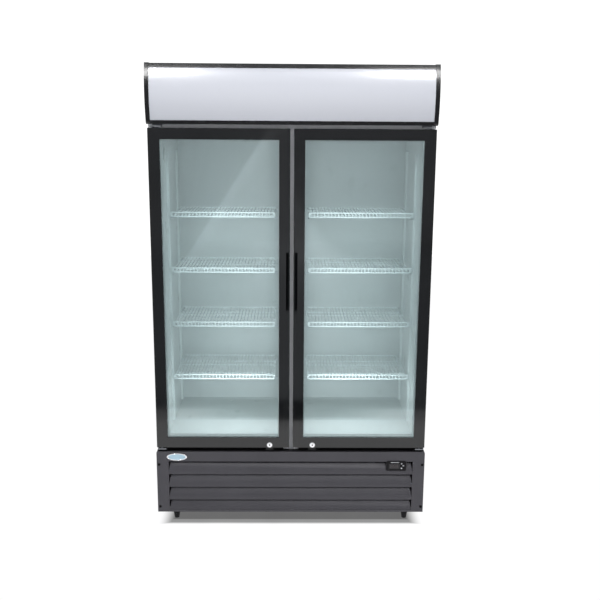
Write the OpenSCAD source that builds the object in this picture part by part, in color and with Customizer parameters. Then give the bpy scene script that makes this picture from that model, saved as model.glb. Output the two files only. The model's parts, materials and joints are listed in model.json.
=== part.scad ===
// Two-door glass merchandiser: an upright display refrigerator with an arched light-box sign,
// two glazed swing doors, wire shelves on slotted uprights and a louvred machine bay below.
// Millimetres. +Z up, front of the cabinet towards -Y, left at -X,
// origin on the floor under the middle of the footprint.

/* [Overall size] */
// Overall width of the cabinet and the light box
cab_w = 1200; // [1180:5:1220]
// Overall depth, from the crown of the sign to the rear bumpers
cab_d = 730; // [720:5:760]
// Height of the cabinet's underside above the floor
foot_h = 32; // [28:1:36]
// Height of the louvred lower panel
panel_h = 290; // [286:1:296]
// Height of each door
door_h = 1394; // [1390:2:1410]
// Height of the light box sign
sign_h = 244; // [236:2:254]

/* [Doors] */
// Thickness of a door
door_t = 42; // [40:1:44]
// Gap between the door's back and the cabinet, filled by the gasket
seal_t = 11; // [11:1:13]
// Clear gap between the two doors
door_gap = 16; // [14:1:20]
// Width of the hinge-side stile
stile_out = 49; // [46:1:52]
// Width of the meeting stile
stile_in = 46; // [44:1:50]
// Radius of the hinge pins
pin_r = 5; // [4:0.5:6]

/* [Shelves] */
// Number of deck wires in a shelf
wires = 30; // [20:1:34]
// Slots from one shelf to the next
shelf_every = 10; // [9:1:11]
// Slot that carries the lowest shelf
shelf_first = 7; // [6:1:8]
// Radius of a deck wire
wire_r = 2.1; // [1.6:0.1:2.2]

/* [Lower panel] */
// Number of louvres
louvres = 4; // [4:1:4]
// How far the louvre tops stand back
louvre_in = 21; // [18:1:22]

/* [Hidden] */
$fn = 48;
left = -1;
right = 1;

gap = 0.2;                     // clearance between neighbouring sheets
sheet = 1;                     // thickness of the cabinet's skin and liner

// Widths, measured from the centre plane
half_w = cab_w / 2;
fit_hw = half_w - sheet - gap; // sheets that fit between the side panels
inner_hw = half_w - 45;        // interior
mullion_hw = 35;               // centre mullion

// Stations from front to back
y_min = -cab_d / 2;            // crown of the sign
y_max = cab_d / 2;             // rear bumpers
y_door = y_min + 21;           // front plane of the doors and the lower panel
y_door_back = y_door + door_t;
y_frame = y_door_back + seal_t; // front plane of the cabinet's opening frame
y_foam = y_frame + 8;
y_back = y_max - 13;           // outer face of the back panel
y_shell = y_back - sheet - gap; // just inside the back panel
y_rear = y_back - 62;          // rear wall of the interior
header_d = 43;                 // depth of the foam header over the door openings

// Levels from the floor up
z_panel = foot_h;
z_panel_top = z_panel + panel_h;
z_door = z_panel_top + 20;
z_door_top = z_door + door_h;
z_sign = z_door_top + 15;
z_top = z_sign + sign_h;
z_body = z_top - 95;           // top of the cabinet
z_shell = z_body - sheet - gap; // just below the top panel
z_ceiling = z_body - 60;       // underside of the top foam
z_sill = z_door + 19;          // interior floor
z_open = z_door_top - 19;      // top of the door opening
z_bay = z_door - 43;           // roof of the machine bay

// Feet, panel screws, and the lines that pass through the cabinet floor
foot_x = 517;
foot_front_y = y_door + 16;
foot_rear_y = y_back - 45;
screw_in = 10.5;               // panel screws, in from the cabinet's side
screw_z = [z_panel + 26, z_panel_top - 61.5];
drain_x = -300;
drain_y = 240;
line_y = y_rear + 15;          // refrigerant lines inside the rear foam
liquid_x = 20;
suction_x = 44;
suction_z = z_body - 106;      // where the lines enter the interior
capillary_z = z_body - 84;

// Colours
paint = [0.22, 0.22, 0.235];
gloss = [0.10, 0.10, 0.11];
white = [0.90, 0.93, 0.93];
grey = [0.52, 0.53, 0.55];
steel = [0.75, 0.76, 0.78];
copper = [0.72, 0.43, 0.28];
black = [0.06, 0.06, 0.07];
foam_yellow = [0.93, 0.86, 0.62];
clear_glass = [0.75, 0.88, 0.88, 0.35];
gasket_grey = [0.35, 0.35, 0.37];
sign_white = [0.9, 0.91, 0.95];
lamp_white = [0.97, 0.97, 0.93];
screw_black = [0.08, 0.08, 0.09];
control_black = [0.07, 0.07, 0.08];
display_black = [0.05, 0.05, 0.06];
badge_blue = [0.72, 0.80, 0.88];
fan_black = [0.15, 0.15, 0.16];
fan_white = [0.85, 0.87, 0.88];
motor_grey = [0.30, 0.30, 0.32];
tray_black = [0.2, 0.2, 0.21];

// ---- helpers -------------------------------------------------------------
// Spans are [from, to] pairs along one axis.
function sym(half) = [-half, half];
function around(mid, half) = [mid - half, mid + half];
function span_len(span) = span[1] - span[0];

module block(xs, ys, zs)
  translate([xs[0], ys[0], zs[0]]) cube([span_len(xs), span_len(ys), span_len(zs)]);
module rect(us, vs) translate([us[0], vs[0]]) square([span_len(us), span_len(vs)]);
module rod_x(xs, y, z, r)
  translate([xs[0], y, z]) rotate([0, 90, 0]) cylinder(r = r, h = span_len(xs));
module rod_y(ys, x, z, r)
  translate([x, ys[0], z]) rotate([-90, 0, 0]) cylinder(r = r, h = span_len(ys));
module rod_z(zs, x, y, r) translate([x, y, zs[0]]) cylinder(r = r, h = span_len(zs));

// Extrusions of a y-z, x-z and x-y outline
module extrude_x(xs)
  translate([xs[0], 0, 0]) rotate([90, 0, 90]) linear_extrude(span_len(xs)) children();
module extrude_y(ys)
  translate([0, ys[1], 0]) rotate([90, 0, 0]) linear_extrude(span_len(ys)) children();
module extrude_z(zs) translate([0, 0, zs[0]]) linear_extrude(span_len(zs)) children();

// Children are drawn on the left; both() adds the right-hand twin, side() picks one.
module both() {
  children();
  mirror([1, 0, 0]) children();
}
module both_at(x) translate([x, 0, 0]) {
  children();
  mirror([1, 0, 0]) children();
}
module side(s) {
  if (s < 0) children();
  else mirror([1, 0, 0]) children();
}

// Rectangle with cut corners
module chamfered(us, vs, cut) {
  u0 = us[0];
  u1 = us[1];
  v0 = vs[0];
  v1 = vs[1];
  polygon([[u0 + cut, v0], [u1 - cut, v0], [u1, v0 + cut], [u1, v1 - cut],
    [u1 - cut, v1], [u0 + cut, v1], [u0, v1 - cut], [u0, v0 + cut]]);
}

// Pipe run along straight legs, with a ball fitting at every inner corner
module pipe(points, r) {
  for (i = [0 : len(points) - 2]) {
    leg = points[i + 1] - points[i];
    leg_len = norm(leg);
    translate(points[i]) rotate([0, acos(leg[2] / leg_len), atan2(leg[1], leg[0])])
      cylinder(r = r, h = leg_len);
  }
  for (i = [1 : len(points) - 2]) translate(points[i]) sphere(r = r * 1.22);
}

// One side of a comb: four points per fin, from web to tip and back
function comb_side(x0, pitch, count, fin_t, y_web, y_tip) =
  [for (i = [0 : count - 1]) let (x = x0 + i * pitch)
    each [[x, y_web], [x, y_tip], [x + fin_t, y_tip], [x + fin_t, y_web]]];

// Fin pack as one comb: fins across x, joined by a mid web
module fins(xs, ys, zs, count, fin_t) {
  pitch = (span_len(xs) - fin_t) / (count - 1);
  y_mid = (ys[0] + ys[1]) / 2;
  front = comb_side(xs[0], pitch, count, fin_t, y_mid - 1, ys[0]);
  rear = comb_side(xs[0], pitch, count, fin_t, y_mid + 1, ys[1]);
  last = 4 * count - 2;
  // The web points on the outer faces of the end fins are left out.
  extrude_z(zs) polygon(concat(
    [for (i = [1 : last]) front[i]],
    [for (i = [last : -1 : 1]) rear[i]]));
}

// Half ring in the x-z plane, bulging towards +x
module u_bend(x, y, zs, r)
  translate([x, y, (zs[0] + zs[1]) / 2]) rotate([90, 0, 0]) rotate([0, 0, -90])
    rotate_extrude(angle = 180) translate([span_len(zs) / 2, 0]) circle(r = r);

// ---- cabinet ---------------------------------------------------------------
module side_panels() color(paint) both() union() {
  block([-half_w, -half_w + sheet], [y_frame, y_back], [z_panel, z_body]);
  // rear return
  block([-half_w + 0.5, -half_w + 17], [y_back - 1, y_back], [z_bay + 1, z_body]);
}

module back_panel() color(paint) union() {
  block(sym(half_w - 17 - gap), [y_back - 1, y_back], [z_bay + 1, z_shell]);
  // pressed stiffening ribs
  for (i = [0 : 3])
    block(sym(420), [y_back - 0.5, y_back + 3], [520 + i * 330, 560 + i * 330]);
  // four bumpers that hold the cabinet off the wall
  for (x = [-500, 500], z = [380, 1760])
    block(around(x, 25), [y_back - 0.5, y_max], [z, z + 60]);
}

module top_panel() color(paint) difference() {
  block(sym(fit_hw), [y_frame, y_shell], [z_body - 1, z_body]);
  for (x = [-300, 300]) rod_z([z_body - 2, z_body + 1], x, y_frame + 60, r = 4);
}

module base_frame() color(gloss) difference() {
  union() {
    // floor pan with upturned sides
    block(sym(fit_hw), [y_frame + 2, y_back - 3], [z_panel, z_panel + 2]);
    both() block([-fit_hw, -fit_hw + 2], [y_frame + 2, y_back - 3], [z_panel, z_panel + 40]);
    // cross rail and black sill under the doors
    block(sym(fit_hw), [y_frame, y_foam - gap], [z_bay - 1, z_door]);
    // corner posts
    both() for (y = [y_frame, y_back - 5])
      block([-fit_hw, -half_w + 34], [y, y + 2], [z_panel, z_bay]);
    // roof of the machine bay
    block(sym(fit_hw), [y_frame + 1, y_back - 3], [z_bay - 1, z_bay + 0.8]);
    // plates the feet screw into
    both() rod_z([z_panel + 0.5, z_panel + 9], -foot_x, foot_rear_y, r = 18);
    both() block(around(-foot_x, 22), [foot_front_y - 10, y_frame + 4],
      [z_panel + 2, z_panel + 8]);
    // tabs behind the lower panel's screws
    both() for (z = screw_z)
      block([-half_w + 2, -half_w + 24], [y_door + 5, y_frame + 1], around(z, 9));
    // keepers for the lock bolts
    both() difference() {
      block(around(-lock_x, 16), [pivot_y - 8, y_frame + 1], [z_door - 18, z_door - 6]);
      block([-lock_x - 17, -lock_x + 9], [pivot_y - 1.5, pivot_y + 7],
        [z_door - 19, z_door - 5]);
    }
  }
  // foot studs and panel screws
  both() for (y = [foot_front_y, foot_rear_y])
    rod_z([z_panel - 5, z_panel + 30], -foot_x, y, r = 5.2);
  both() for (z = screw_z) rod_y([y_door, y_door + 20], -half_w + screw_in, z, r = 2.35);
  // gap the front frame's centre tongue drops into
  block(sym(34.2), [y_frame - 1, y_foam + 1], [z_door - 28.2, z_door + 1]);
  // drain and line holes: [x, y, radius]
  for (hole = [[drain_x, drain_y, 12], [liquid_x, line_y, 7], [suction_x, line_y, 9]])
    rod_z(around(z_bay, 5), hole[0], hole[1], r = hole[2]);
}

module insulation() color(foam_yellow) {
  foam_x = sym(inner_hw + 1);
  z_low = z_bay + 1.2;
  // sides
  both() block([-fit_hw, -inner_hw - 1 - gap], [y_foam, y_shell], [z_low, z_shell]);
  // back, with a chase for the refrigerant lines
  difference() {
    block(foam_x, [y_rear + 1 + gap, y_shell], [z_low, z_shell]);
    block([6, 58], [y_rear + 5, y_rear + 28], [z_bay, z_body - 66]);
    block([6, 58], [y_rear, y_rear + 10], [z_body - 116, z_body - 66]);
  }
  // top
  block(foam_x, [y_foam, y_rear + 1], [z_ceiling, z_shell]);
  // floor
  difference() {
    block(foam_x, [y_foam, y_rear + 1], [z_low, z_sill - 1 - gap]);
    rod_z([z_bay, z_sill], drain_x, drain_y, r = 14);
  }
  // header over the door openings
  block(foam_x, [y_foam, y_foam + header_d], [z_open + 1 + gap, z_ceiling - gap]);
}

// Liner section in y-z: its outside at inset 0, its inside at inset 1
module liner_profile(inset) {
  y_header = y_foam + header_d + gap + inset;
  z_floor = z_sill - 1 + inset;
  z_roof = z_ceiling - gap - inset;
  z_lintel = z_open + 1 - inset;
  polygon([[y_foam - inset, z_floor], [y_rear + 1 - inset, z_floor],
    [y_rear + 1 - inset, z_roof], [y_header, z_roof],
    [y_header, z_lintel], [y_foam - inset, z_lintel]]);
}

module inner_liner() color(white) difference() {
  union() {
    extrude_x(sym(inner_hw + 1)) liner_profile(0);
    // drain spout
    rod_z([z_panel + 60, z_sill - 0.5], drain_x, drain_y, r = 9.5);
  }
  extrude_x(sym(inner_hw)) liner_profile(1);
  rod_z([z_panel + 50, z_sill + 1], drain_x, drain_y, r = 7.5);
  rod_y([y_rear - 1, y_rear + 3], suction_x, suction_z, r = 6);
  rod_y([y_rear - 1, y_rear + 3], liquid_x, capillary_z, r = 4);
}

module front_frame() color(grey) union() {
  difference() {
    block(sym(fit_hw), [y_frame, y_foam - gap], [z_door + gap, z_shell]);
    both() block([-inner_hw, -mullion_hw], [y_frame - 1, y_foam + 1], [z_sill, z_open]);
  }
  // centre mullion between the door openings
  block(sym(mullion_hw - 1), [y_foam - gap - 1, y_foam + 46], [z_sill + gap, z_open - gap]);
  // tongue that carries the strip behind the door gap down to the sill
  block(sym(34), [y_frame, y_foam - gap], [z_door - 28, z_door + 1]);
  // centre rib on the mullion's front
  block(sym(3), [y_frame - 2, y_frame + 1], [z_sill + 40, z_open - 40]);
}

// ---- shelf uprights ----------------------------------------------------------
upright_front_y = y_door + 238;
upright_rear_y = y_door + 543;
upright_z = z_sill + 24;       // foot of the side uprights
slot_pitch = 25;
slot_first = 23.5;             // first slot above the foot of an upright
slot_h = 14;
slot_count = 49;
upright_h = slot_first + slot_pitch * (slot_count - 1) + 17;
post_hw = 52;                  // half width of the centre posts
rail_drop = 2.8;               // from a deck's centre plane to the top of its clips

function slot_z(i) = slot_first + i * slot_pitch;
// Deck height of a tier; tier 0 is the lowest
function deck_z(tier) =
  upright_z + slot_z(shelf_first) + 12 + rail_drop + tier * shelf_every * slot_pitch;

module side_upright() difference() {
  block([0, 10], sym(12), [0, upright_h]);
  block([-1, 8.5], sym(10.5), [-1, upright_h + 1]);
  for (i = [0 : slot_count - 1])
    block([7, 11], sym(2.5), [slot_z(i), slot_z(i) + slot_h]);
}

module centre_post() difference() {
  post_h = z_open - z_sill + 8;
  block(sym(post_hw), sym(12), [0, post_h]);
  block(sym(post_hw - 1.5), sym(10.5), [-1, post_h + 1]);
  both() for (i = [0 : slot_count - 1])
    let (z = upright_z - z_sill - gap + slot_z(i))
      block([-post_hw - 1, -post_hw + 2.5], sym(2.5), [z, z + slot_h]);
}

module shelf_uprights() color(white) for (y = [upright_front_y, upright_rear_y]) {
  both() translate([-inner_hw + gap, y, upright_z]) side_upright();
  translate([0, y, z_sill + gap]) centre_post();
}

// One shelf clip: hook through the slot, platform under the shelf rail;
// the upright's face is at x = 0
module clip(reach) {
  block([-5, reach], sym(1.8), [-9, -0.5]);
  block([-5, -3], sym(1.8), [-14, -8]);
  block([gap, reach], sym(8), [-2, 0]);
}

module shelf_clips() color(steel)
  both() for (tier = [0 : 3], y = [upright_front_y, upright_rear_y])
    let (z = deck_z(tier) - rail_drop) {
      translate([-inner_hw + gap + 10, y, z]) clip(17);
      translate([-post_hw, y, z]) mirror([1, 0, 0]) clip(30);
    }

// ---- shelves ---------------------------------------------------------------
shelf_out_x = inner_hw - 14;
shelf_in_x = 74;
shelf_y0 = y_door + 200;
shelf_y1 = y_door + 596;
lip_h = 19;
rail_r = 3;                    // front, lip and back rails
side_rail_r = 2.6;
cross_rod_r = 2.4;
picket_r = 1.8;

// Deck wires and lip pickets butt into the rails; cross rods run below the deck
module wire_shelf(s, tier) side(s) color(white)
  let (z = deck_z(tier), x0 = -shelf_out_x, x1 = -shelf_in_x,
    y0 = shelf_y0 + rail_r, y1 = shelf_y1 - rail_r, rail_in = side_rail_r + 0.5) union() {
    for (rail = [[y0, z], [y0, z + lip_h], [y1, z]])
      rod_x([x0, x1], rail[0], rail[1], r = rail_r);
    for (x = [x0 + rail_in, x1 - rail_in]) rod_y([y0, y1], x, z, r = side_rail_r);
    for (y = [y0 + 100, y0 + 237, y0 + 300])
      rod_x([x0 + rail_in, x1 - rail_in], y, z - 2.5 - wire_r, r = cross_rod_r);
    for (k = [0 : wires - 1]) let (x = x0 + 9 + k * (x1 - x0 - 18) / (wires - 1)) {
      translate([x, y0, z]) rotate([-90, 0, 0]) rotate(22.5)
        cylinder(r = wire_r, h = y1 - y0, $fn = 8);
      translate([x, y0, z]) rotate(22.5) cylinder(r = picket_r, h = lip_h, $fn = 8);
    }
  }

// ---- doors -----------------------------------------------------------------
hinge_x = half_w - 4;          // hinge-side edge of a door
meeting_x = door_gap / 2;      // meeting edge of a door
pivot_in = 21;                 // hinge axis, in from the edge and back from the face
pivot_x = hinge_x - pivot_in;
pivot_y = y_door + pivot_in;
glass_z = [z_door + 47.4, z_door_top - 45.7];          // visible glass
glass_x = [-hinge_x + stile_out, -meeting_x - stile_in];
lock_x = 95;
lock_z = z_door + 13.5;

// Block over the visible glass of the left door, grown on all four edges
module glass_block(grow, ys)
  block([glass_x[0] - grow, glass_x[1] + grow], ys, [glass_z[0] - grow, glass_z[1] + grow]);

module door_frame(s) side(s) color(gloss) difference() {
  extrude_y([y_door, y_door_back])
    chamfered([-hinge_x, -meeting_x], [z_door, z_door_top], cut = 1.5);
  glass_block(0, [y_door - 1, y_door_back + 1]);
  // groove for the insulated glass
  glass_block(12, [y_door + 5, y_door + 31]);
  // recessed grip in the meeting stile
  translate([-meeting_x, y_door]) extrude_z([z_door + 626, z_door + 879])
    polygon([[-16, -1], [-4, -1], [-4, 3], [-23, 24], [-23, 8], [-16, 8]]);
  // pivot bores
  for (zs = [[z_door - 1, z_door + 26], [z_door_top - 26, z_door_top + 1]])
    rod_z(zs, -pivot_x, pivot_y, r = pin_r + 0.05);
  // lock bore, and the pocket its bolt turns in
  rod_y([y_door - 1, y_door + 20], -lock_x, lock_z, r = 9.6);
  block([-lock_x - 29, -lock_x + 8], [y_door + 19.9, y_door + 29], [z_door - 1, lock_z + 8]);
}

module door_glass(s) side(s) color(clear_glass)
  for (y = [y_door + 6, y_door + 26]) glass_block(11, [y, y + 4]);

module glass_spacer(s) side(s) color(steel) difference() {
  glass_block(8, [y_door + 10.2, y_door + 25.8]);
  glass_block(-5, [y_door + 9, y_door + 27]);
}

// Rectangular ring inside the outline of the left gasket
module gasket_ring(inset, width, ys) {
  xs = [-hinge_x + 28 + inset, -meeting_x - 5 - inset];
  zs = [z_door + 3 + inset, z_door_top - 3 - inset];
  difference() {
    block(xs, ys, zs);
    block([xs[0] + width, xs[1] - width], [ys[0] - 1, ys[1] + 1],
      [zs[0] + width, zs[1] - width]);
  }
}

module gasket(s) side(s) color(gasket_grey) union() {
  // dart side, against the door
  gasket_ring(inset = 0, width = 14, ys = [y_door_back + 0.1, y_door_back + 4]);
  // bellows walls
  for (inset = [2, 10]) gasket_ring(inset, width = 2, ys = [y_door_back + 3.5, y_frame - 4]);
  // magnet strip
  gasket_ring(inset = 1, width = 12, ys = [y_frame - 4.5, y_frame - 0.4]);
}

module lock_barrel(s) side(s) color(steel) difference() {
  union() {
    rod_y([y_door - 3, y_door - 0.1], -lock_x, lock_z, r = 12);
    rod_y([y_door - 1, y_door + 19.5], -lock_x, lock_z, r = 9.4);
  }
  rod_y([y_door - 4, y_door + 20], -lock_x, lock_z, r = 7.05);
}

module lock_plug(s) side(s) color(steel) difference() {
  union() {
    rod_y([y_door - 4, y_door + 25], -lock_x, lock_z, r = 7);
    // bolt
    block([-lock_x - 26, -lock_x + 5], [y_door + 21.5, y_door + 25], around(lock_z, 5));
  }
  // key slot and the round recess around it
  block(around(-lock_x, 1.2), [y_door - 5, y_door + 6], around(lock_z, 4));
  rod_y([y_door - 5, y_door - 2.6], -lock_x, lock_z - 0.6, r = 2.8);
}

module hinge_brackets() color(steel) both() {
  plate_y = [pivot_y - 14, y_frame - gap];
  flange_y = [y_frame - 4, y_frame - gap];
  top_x = [-half_w + 17, -half_w + 59];
  bottom_x = [-half_w + 6, -half_w + 44];
  // top: plate with its pin pointing down
  union() {
    block(top_x, plate_y, [z_door_top + 5, z_door_top + 9]);
    block(top_x, flange_y, [z_door_top + 5, z_door_top + 38]);
    rod_z([z_door_top - 22, z_door_top + 6], -pivot_x, pivot_y, r = pin_r);
  }
  // bottom: plate with its pin and thrust collar pointing up
  union() {
    block(bottom_x, plate_y, [z_door - 13, z_door - 8]);
    block(bottom_x, flange_y, [z_door - 42, z_door - 8]);
    rod_z([z_door - 9, z_door + 22], -pivot_x, pivot_y, r = pin_r);
    rod_z([z_door - 9, z_door - gap], -pivot_x, pivot_y, r = 9);
  }
}

// ---- sign ------------------------------------------------------------------
arc_r = 414;                   // radius of the sign's arc
arc_y = y_min + arc_r;
arc_z = z_sign + 124;

module arc_disc(r) translate([arc_y, arc_z]) circle(r = r);
module arc_band(r_in, r_out, zs) intersection() {
  difference() {
    arc_disc(r_out);
    arc_disc(r_in);
  }
  rect([y_min - 5, y_frame], zs);
}
module sign_section(r, y_end, zs) intersection() {
  arc_disc(r);
  rect([y_min - 5, y_end], zs);
}

module canopy_sign_panel() color(sign_white)
  extrude_x(sym(half_w - 16)) arc_band(arc_r - 6, arc_r - 3, [z_sign + 5, z_top - 7]);

module canopy_end_caps() color(gloss) both() difference() {
  inner_z = [z_sign + 3, z_top - 3];
  extrude_x([-half_w, -half_w + 18]) difference() {
    sign_section(arc_r, y_frame - 6, [z_sign, z_top]);
    // cut-away lower front corner
    polygon([[y_min + 8, z_sign - 1], [y_min + 26, z_sign - 1], [y_min + 19.6, z_sign + 3],
      [y_min + 16.4, z_sign + 9], [y_min + 8, z_sign + 30]]);
  }
  extrude_x([-half_w + 3, -half_w + 18.5]) sign_section(arc_r - 11, y_frame - 8, inner_z);
  // seat for the sign panel's end
  extrude_x([-half_w + 15, -half_w + 18.5]) arc_band(arc_r - 6.3, arc_r - 2.7, inner_z);
}

// Trim section: a band of the arc, hollowed and grooved for the sign panel
module trim_section(outer_z, hollow_z, groove_z) difference() {
  sign_section(arc_r - 1, y_min + 32, outer_z);
  sign_section(arc_r - 12, y_min + 40, hollow_z);
  arc_band(arc_r - 6.4, arc_r - 2.6, groove_z);
}

module canopy_trims() color(gloss) extrude_x(sym(half_w - 18 - gap)) {
  trim_section([z_sign + 0.5, z_sign + 16], [z_sign + 3, z_sign + 17],
    [z_sign + 4, z_sign + 17]);
  trim_section([z_top - 20, z_top - 2], [z_top - 21, z_top - 6], [z_top - 21, z_top - 6.5]);
}

module canopy_housing() color(paint) union() {
  box_x = sym(half_w - 18.5);
  // back, floor and roof sheets
  block(box_x, [y_frame - 7.8, y_frame - 6.2], [z_sign + 0.5, z_top - 2]);
  for (z = [z_sign + 0.5, z_top - 3.5])
    block(box_x, [y_min + 32.5, y_frame - 6.2], [z, z + 1.5]);
  // four standoffs to the cabinet's header
  for (x = [-440, -150, 150, 440])
    block(around(x, 20), [y_frame - 6.5, y_frame - gap], [z_body - 70, z_body - 30]);
  // lamp tray
  block(sym(half_w - 60), [y_frame - 16, y_frame - 7.5], around(arc_z, 18));
}

module led_lamps() color(lamp_white) {
  // sign lamp with its end holders
  union() {
    rod_x(sym(half_w - 80), y_frame - 32, arc_z, r = 12);
    for (x = [-half_w + 72, half_w - 84])
      block([x, x + 12], [y_frame - 40, y_frame - 16 - gap], around(arc_z, 14));
  }
  // two battens beside the mullion
  both() block([-mullion_hw - 12, -mullion_hw + 1 - gap], [y_foam + 10, y_foam + 34],
    [z_sill + 50, z_open - 50]);
}

// ---- lower panel -----------------------------------------------------------
panel_t = 1.5;                 // sheet thickness of the lower panel
field_hw = half_w - 53;        // half width of the louvre field
field_top = z_panel_top - 46.5;
louvre_pitch = (field_top - z_panel + 2) / louvres;
control_x = 473;
control_z = field_top - 20;
// Button centres from the controller's centre, [x, z]: set, up, down
button_at = [[31.5, 2.5], [23.5, 12], [23.5, -9.5]];

// Louvre, counted from the top: full width low down, drawn in at both ends towards the top
module louvre(i) {
  last = i == louvres - 1;
  top = field_top - i * louvre_pitch;
  head = top + (i == 0 ? 1 : 7);
  bend = top - louvre_pitch * 0.45;
  next = top - louvre_pitch;
  low = last ? z_panel + 5 : next;
  // all but the last louvre end in an inward lip
  toe = last ? [[1, low], [2.5, low]]
    : [[1, low], [10, low], [10, low + panel_t], [2.5, low + panel_t]];
  translate([0, y_door, 0]) intersection() {
    extrude_x(sym(field_hw + 0.5)) polygon(concat(
      [[louvre_in, head], [louvre_in, top - 4], [4, bend], [1, next + 6]],
      toe,
      [[2.5, next + 6], [5.5, bend],
       [louvre_in + panel_t, top - 4], [louvre_in + panel_t, head]]));
    extrude_y([-1, louvre_in + 5]) polygon([
      [-field_hw - 1, low - 1], [field_hw + 1, low - 1], [field_hw + 1, next + 10],
      [field_hw - 8.5, top - 4], [field_hw - 8.5, top + 8],
      [-field_hw + 8.5, top + 8], [-field_hw + 8.5, top - 4], [-field_hw - 1, next + 10]]);
  }
}

module front_grille() color(paint) difference() {
  face_y = [y_door, y_door + panel_t];
  full_z = [z_panel, z_panel_top];
  union() {
    // face above and beside the louvre field
    block(sym(half_w), face_y, [field_top, z_panel_top]);
    both() block([-half_w, -field_hw], face_y, full_z);
    // returns: outer sides, field sides and top
    both() block([-half_w, -half_w + panel_t], [y_door, y_frame - gap], full_z);
    both() block([-field_hw - panel_t, -field_hw], [y_door, y_door + 26], full_z);
    block(sym(half_w), [y_door, y_door + 16], [z_panel_top - panel_t, z_panel_top]);
    // bottom rail with its inward lip
    block(sym(half_w), face_y, [z_panel, z_panel + 11]);
    block(sym(half_w), [y_door, y_door + 14], [z_panel, z_panel + panel_t]);
    for (i = [0 : louvres - 1]) louvre(i);
    // pad behind the controller bezel
    block([control_x - 45, control_x + 46], [y_door, y_door + 22],
      [control_z - 24, control_z + 25]);
    // return that closes the louvre field at its top
    block(sym(field_hw + 0.5), [y_door, y_door + louvre_in + panel_t],
      [field_top - 0.1, field_top + 1.5]);
  }
  // clipped top corners
  both() extrude_y([y_door - 1, y_frame + 1]) translate([-half_w, z_panel_top])
    polygon([[-1, 1], [-1, -6], [0, -6], [2, -2], [6, 0], [6, 1]]);
  // window for the controller
  block(around(control_x, 40), [y_door - 5, y_door + 40], [control_z - 19, control_z + 20]);
  // screw holes
  both() for (z = screw_z) rod_y([y_door - 1, y_door + 4], -half_w + screw_in, z, r = 2.6);
  // clearance for the studs of the front feet
  both() rod_z([z_panel - 1, z_panel + 2], -foot_x, foot_front_y, r = 5.7);
}

module screws() color(screw_black) {
  // lower panel screws
  both() for (z = screw_z) union() {
    rod_y([y_door - 2.2, y_door - 0.1], -half_w + screw_in, z, r = 5.5);
    rod_y([y_door - 1, y_door + 12], -half_w + screw_in, z, r = 2.3);
  }
  // hinge bracket screws
  both() for (dx = [0, 24]) {
    rod_y([y_frame - 5.8, y_frame - 4.05], -half_w + 26 + dx, z_door_top + 27, r = 3);
    rod_y([y_frame - 5.8, y_frame - 4.05], -half_w + 13 + dx, z_door - 30, r = 3.4);
  }
  // rear grille screws
  for (x = [-half_w + 12, 0, half_w - 12], z = [z_panel + 20, z_bay - 14])
    rod_y([y_back + 0.1, y_back + 2], x, z, r = 4);
}

// Block centred on a button, as seen from the front
module button_block(at, half_x, half_z, ys)
  block(around(control_x + at[0], half_x), ys, around(control_z + at[1], half_z));

module controller_body() color(control_black) difference() {
  union() {
    // bezel
    extrude_y([y_door - 4, y_door - 0.2])
      chamfered(around(control_x, 44), [control_z - 22, control_z + 23], cut = 3);
    block(around(control_x, 38), [y_door - 1, y_door + 52], [control_z - 17, control_z + 18]);
  }
  // display recess
  block([control_x - 33, control_x + 15.5], [y_door - 5, y_door - 1.5],
    [control_z - 13, control_z + 11.5]);
  for (at = button_at) button_block(at, 3.75, 3.5, [y_door - 5, y_door + 3]);
}

module controller_display() color(display_black)
  block([control_x - 32.8, control_x + 15.3], [y_door - 3.6, y_door - 1.7],
    [control_z - 12.8, control_z + 11.3]);

module button(k) color(steel)
  button_block(button_at[k], 3.5, 3.25, [y_door - 5, y_door + 1.2]);

// Hull of the child placed around an ellipse
module oval(radius_x, radius_y, z)
  hull() for (t = [0 : 10 : 350])
    translate([radius_x * cos(t), radius_y * sin(t), z]) children();

module badge() color(badge_blue)
  translate([-509, y_door - 0.1, z_panel_top - 25.5]) rotate([90, 0, 0]) difference() {
    oval(44.3, 15.8, 0) cylinder(r1 = 1, r2 = 0.4, h = 1.6, $fn = 8);
    oval(40.8, 12.3, 1) cylinder(r = 0.4, h = 2, $fn = 8);
  }

// ---- machine bay -----------------------------------------------------------
z_pan = z_panel + 2.2;         // parts stand just above the floor pan
comp_x = 250;                  // compressor axis
comp_y = 170;
stub_off = 50;                 // line stubs, from the compressor axis
stub_z = 250;                  // top of the line stubs
cond_x = [-330, -30];          // condenser fin pack
cond_y = [-245, -165];
cond_z = [46, 272];
cond_line_y = -205;            // lines to the condenser
cond_fan_x = -180;             // condenser fan axis
cond_fan_z = 160;
shroud_y = -140;
shroud_r = 104;                // bore of the condenser shroud
cord_x = 440;
cord_y = y_back + 8;
cord_z = z_panel + 60;

module compressor() color(black) union() {
  translate([comp_x, comp_y, 0]) {
    // shell and dome
    rod_z([72, 190], 0, 0, r = 82);
    intersection() {
      translate([0, 0, 150]) sphere(r = 92);
      rod_z([188, 260], 0, 0, r = 81);
    }
    // base and crossed mounting bars
    rod_z([58, 73], 0, 0, r = 74);
    block(sym(95), sym(14), [52, 60]);
    block(sym(14), sym(95), [52.5, 59.5]);
    // terminal box
    block([78, 112], sym(26), [100, 160]);
    // line stubs
    for (at = [[-stub_off, 0], [0, -stub_off]]) rod_z([200, stub_z], at[0], at[1], r = 5.5);
    // rubber mounts
    for (a = [0 : 90 : 270]) rotate([0, 0, a]) rod_z([z_panel + 2.3, 53], 84, 0, r = 9);
  }
}

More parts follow.
